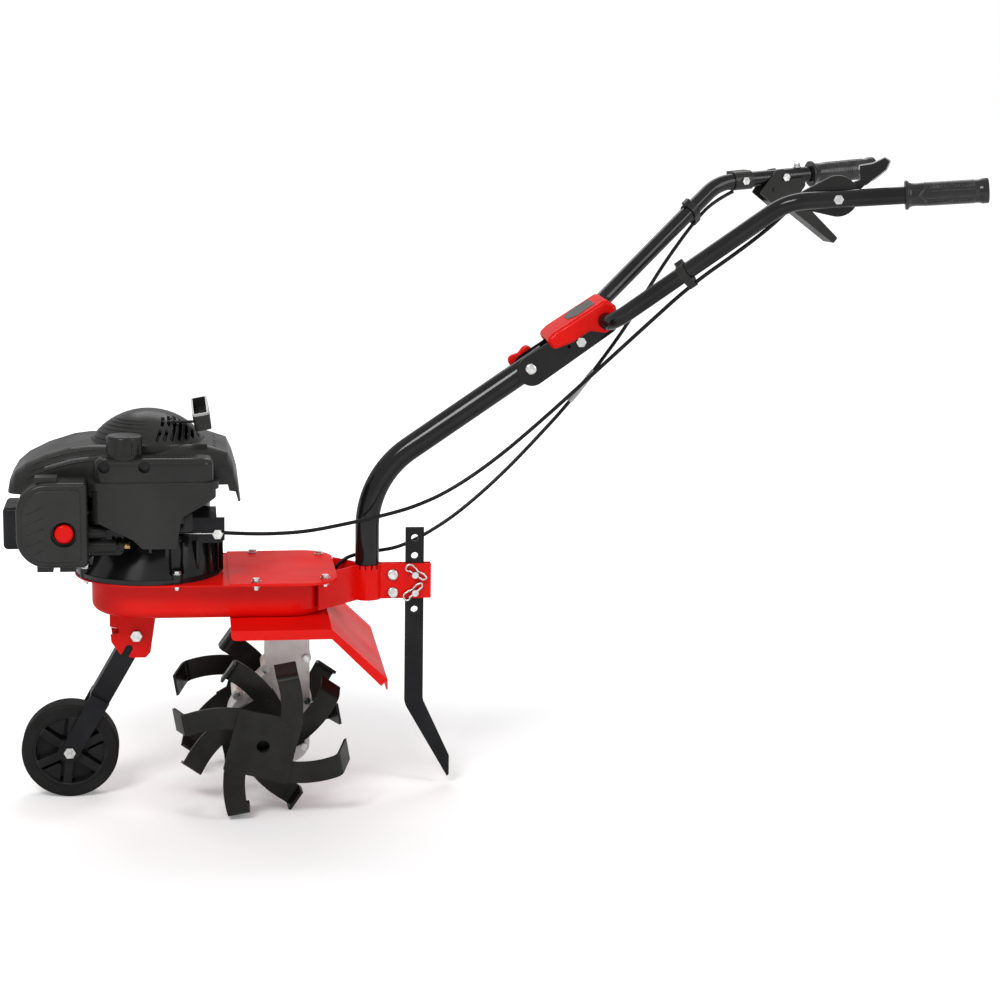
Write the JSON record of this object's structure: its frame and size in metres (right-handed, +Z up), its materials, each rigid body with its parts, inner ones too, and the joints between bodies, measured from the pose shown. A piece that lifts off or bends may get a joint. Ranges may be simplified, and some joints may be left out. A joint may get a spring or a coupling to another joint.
{
  "type": "garden tiller",
  "caption": "Petrol garden tiller with front engine, belt and worm drive to curved tines, folding handlebar, transport wheel and drag bar.",
  "frame": {"origin": "centre of the box on the ground plane", "axes": "+X to the rear (grips), -X to the front (engine), +Y to the machine's right, +Z up"},
  "size_m": [1.348, 0.5856, 0.9471],
  "materials": {
    "red_paint": "gloss",
    "black_paint": "gloss",
    "dark_steel": "satin",
    "engine_plastic": "satin",
    "sump_paint": "gloss",
    "cast_aluminium": "cast",
    "zinc": "plated",
    "steel": "machined",
    "cast_iron": "machined",
    "bronze": "machined",
    "rubber": "moulded",
    "tyre": "matte",
    "wheel_plastic": "satin",
    "red_plastic": "satin",
    "foam": "open cell"
  },
  "bodies": {
    "chassis": {"belt_housing": "red_paint", "belt_cover": "red_paint", "tine_guard": "red_paint", "wheel_bracket": "red_paint", "column_clamp": "red_paint", "handle_column": "black_paint", "drag_bar": "dark_steel", "drag_bar_pins": "zinc", "gear_case_left": "cast_aluminium", "gear_case_right": "cast_aluminium", "shaft_bushes": "bronze", "drive_belt": "rubber", "engine_sump": "sump_paint", "cylinder_block": "cast_aluminium", "muffler": "dark_steel", "spark_plug": "steel", "blower_shroud": "engine_plastic", "recoil_cover": "engine_plastic", "fuel_tank": "engine_plastic", "air_cleaner_base": "engine_plastic", "air_cleaner_cover": "engine_plastic", "air_filter": "foam", "carburettor": "cast_aluminium", "control_bracket": "dark_steel", "throttle_cable": "rubber", "clutch_cable": "rubber", "chassis_bolts": "zinc", "chassis_nuts": "zinc"},
    "crank": {"crankshaft": "steel", "engine_pulley": "steel", "flywheel": "cast_iron"},
    "worm": {"worm_shaft": "steel", "driven_pulley": "steel"},
    "tines": {"tine_shaft": "steel", "worm_wheel": "bronze", "tine_hubs": "dark_steel", "outer_tine_left": "dark_steel", "inner_tine_left": "dark_steel", "outer_tine_right": "dark_steel", "inner_tine_right": "dark_steel"},
    "idler": {"idler_arm": "steel"},
    "idler_wheel": {"idler_pulley": "steel"},
    "wheel_fork": {"wheel_arm": "black_paint", "axle_bolt": "zinc"},
    "front_wheel": {"wheel_rim": "wheel_plastic", "tyre": "tyre"},
    "handlebar": {"handlebar_tube": "black_paint", "grips": "rubber", "head_bracket": "black_paint", "head_cover": "red_plastic", "handlebar_bolts": "zinc", "cable_stop": "engine_plastic", "throttle_body": "engine_plastic", "cable_clips": "engine_plastic"},
    "knob": {"star_knob": "red_plastic"},
    "clutch": {"clutch_lever": "engine_plastic"},
    "throttle": {"throttle_lever": "engine_plastic"},
    "primer": {"primer_bulb": "red_plastic"},
    "cap": {"fuel_cap": "engine_plastic"},
    "starter": {"starter_grip": "engine_plastic"}
  },
  "joints": [
    {"name": "wheel_arm_pivot", "type": "hinge", "parent": "chassis", "child": "wheel_fork", "pos_m": [-0.486, 0, 0.242], "axis": [0, 1, 0], "range_deg": [0, 67]},
    {"name": "wheel_spin", "type": "hinge", "parent": "wheel_fork", "child": "front_wheel", "pos_m": [-0.584, 0, 0.07], "axis": [0, 1, 0], "continuous": true},
    {"name": "tine_spin", "type": "hinge", "parent": "chassis", "child": "tines", "pos_m": [-0.308, 0, 0.11], "axis": [0, 1, 0], "continuous": true},
    {"name": "worm_spin", "type": "hinge", "parent": "chassis", "child": "worm", "pos_m": [-0.268, 0, 0.11], "axis": [0, 0, 1], "continuous": true},
    {"name": "crank_spin", "type": "hinge", "parent": "chassis", "child": "crank", "pos_m": [-0.466, 0, 0.335], "axis": [0, 0, 1], "continuous": true},
    {"name": "idler_swing", "type": "hinge", "parent": "chassis", "child": "idler", "pos_m": [-0.412, 0.062, 0.302], "axis": [0, 0, 1], "range_deg": [-13, 0], "deforming": ["drive_belt"]},
    {"name": "idler_spin", "type": "hinge", "parent": "idler", "child": "idler_wheel", "pos_m": [-0.368, 0.0538, 0.302], "axis": [0, 0, 1], "continuous": true},
    {"name": "handlebar_tilt", "type": "hinge", "parent": "chassis", "child": "handlebar", "pos_m": [0.085, 0, 0.63], "axis": [0, 1, 0], "range_deg": [-110, 10], "deforming": ["throttle_cable", "clutch_cable"]},
    {"name": "knob_turn", "type": "hinge", "parent": "handlebar", "child": "knob", "pos_m": [0.085, 0, 0.63], "axis": [0, 1, 0], "range_deg": [-540, 0]},
    {"name": "clutch_squeeze", "type": "hinge", "parent": "handlebar", "child": "clutch", "pos_m": [0.51285, 0.23952, 0.89458], "axis": [0.2257, -0.9742, 0], "range_deg": [0, 31], "stiffness_Nm_per_rad": 1.2, "springref_deg": -11.46},
    {"name": "throttle_turn", "type": "hinge", "parent": "handlebar", "child": "throttle", "pos_m": [0.47401, -0.23052, 0.89143], "axis": [-0.2257, -0.9742, 0], "range_deg": [0, 70]},
    {"name": "primer_press", "type": "slide", "parent": "chassis", "child": "primer", "axis": [0, 1, 0], "range_m": [0, 0.006], "stiffness_N_per_m": 400, "springref_m": -0.002},
    {"name": "fuel_cap_turn", "type": "hinge", "parent": "chassis", "child": "cap", "pos_m": [-0.497, -0.112, 0.527], "axis": [0, 0, 1], "range_deg": [0, 120]},
    {"name": "starter_pull", "type": "slide", "parent": "chassis", "child": "starter", "axis": [1, 0, 0], "range_m": [0, 0.06], "stiffness_N_per_m": 60, "springref_m": -0.02}
  ],
  "couplings": [
    {"joint": "worm_spin", "follows": "tine_spin", "ratio": 18},
    {"joint": "idler_swing", "follows": "clutch_squeeze", "ratio": -0.41935}
  ]
}
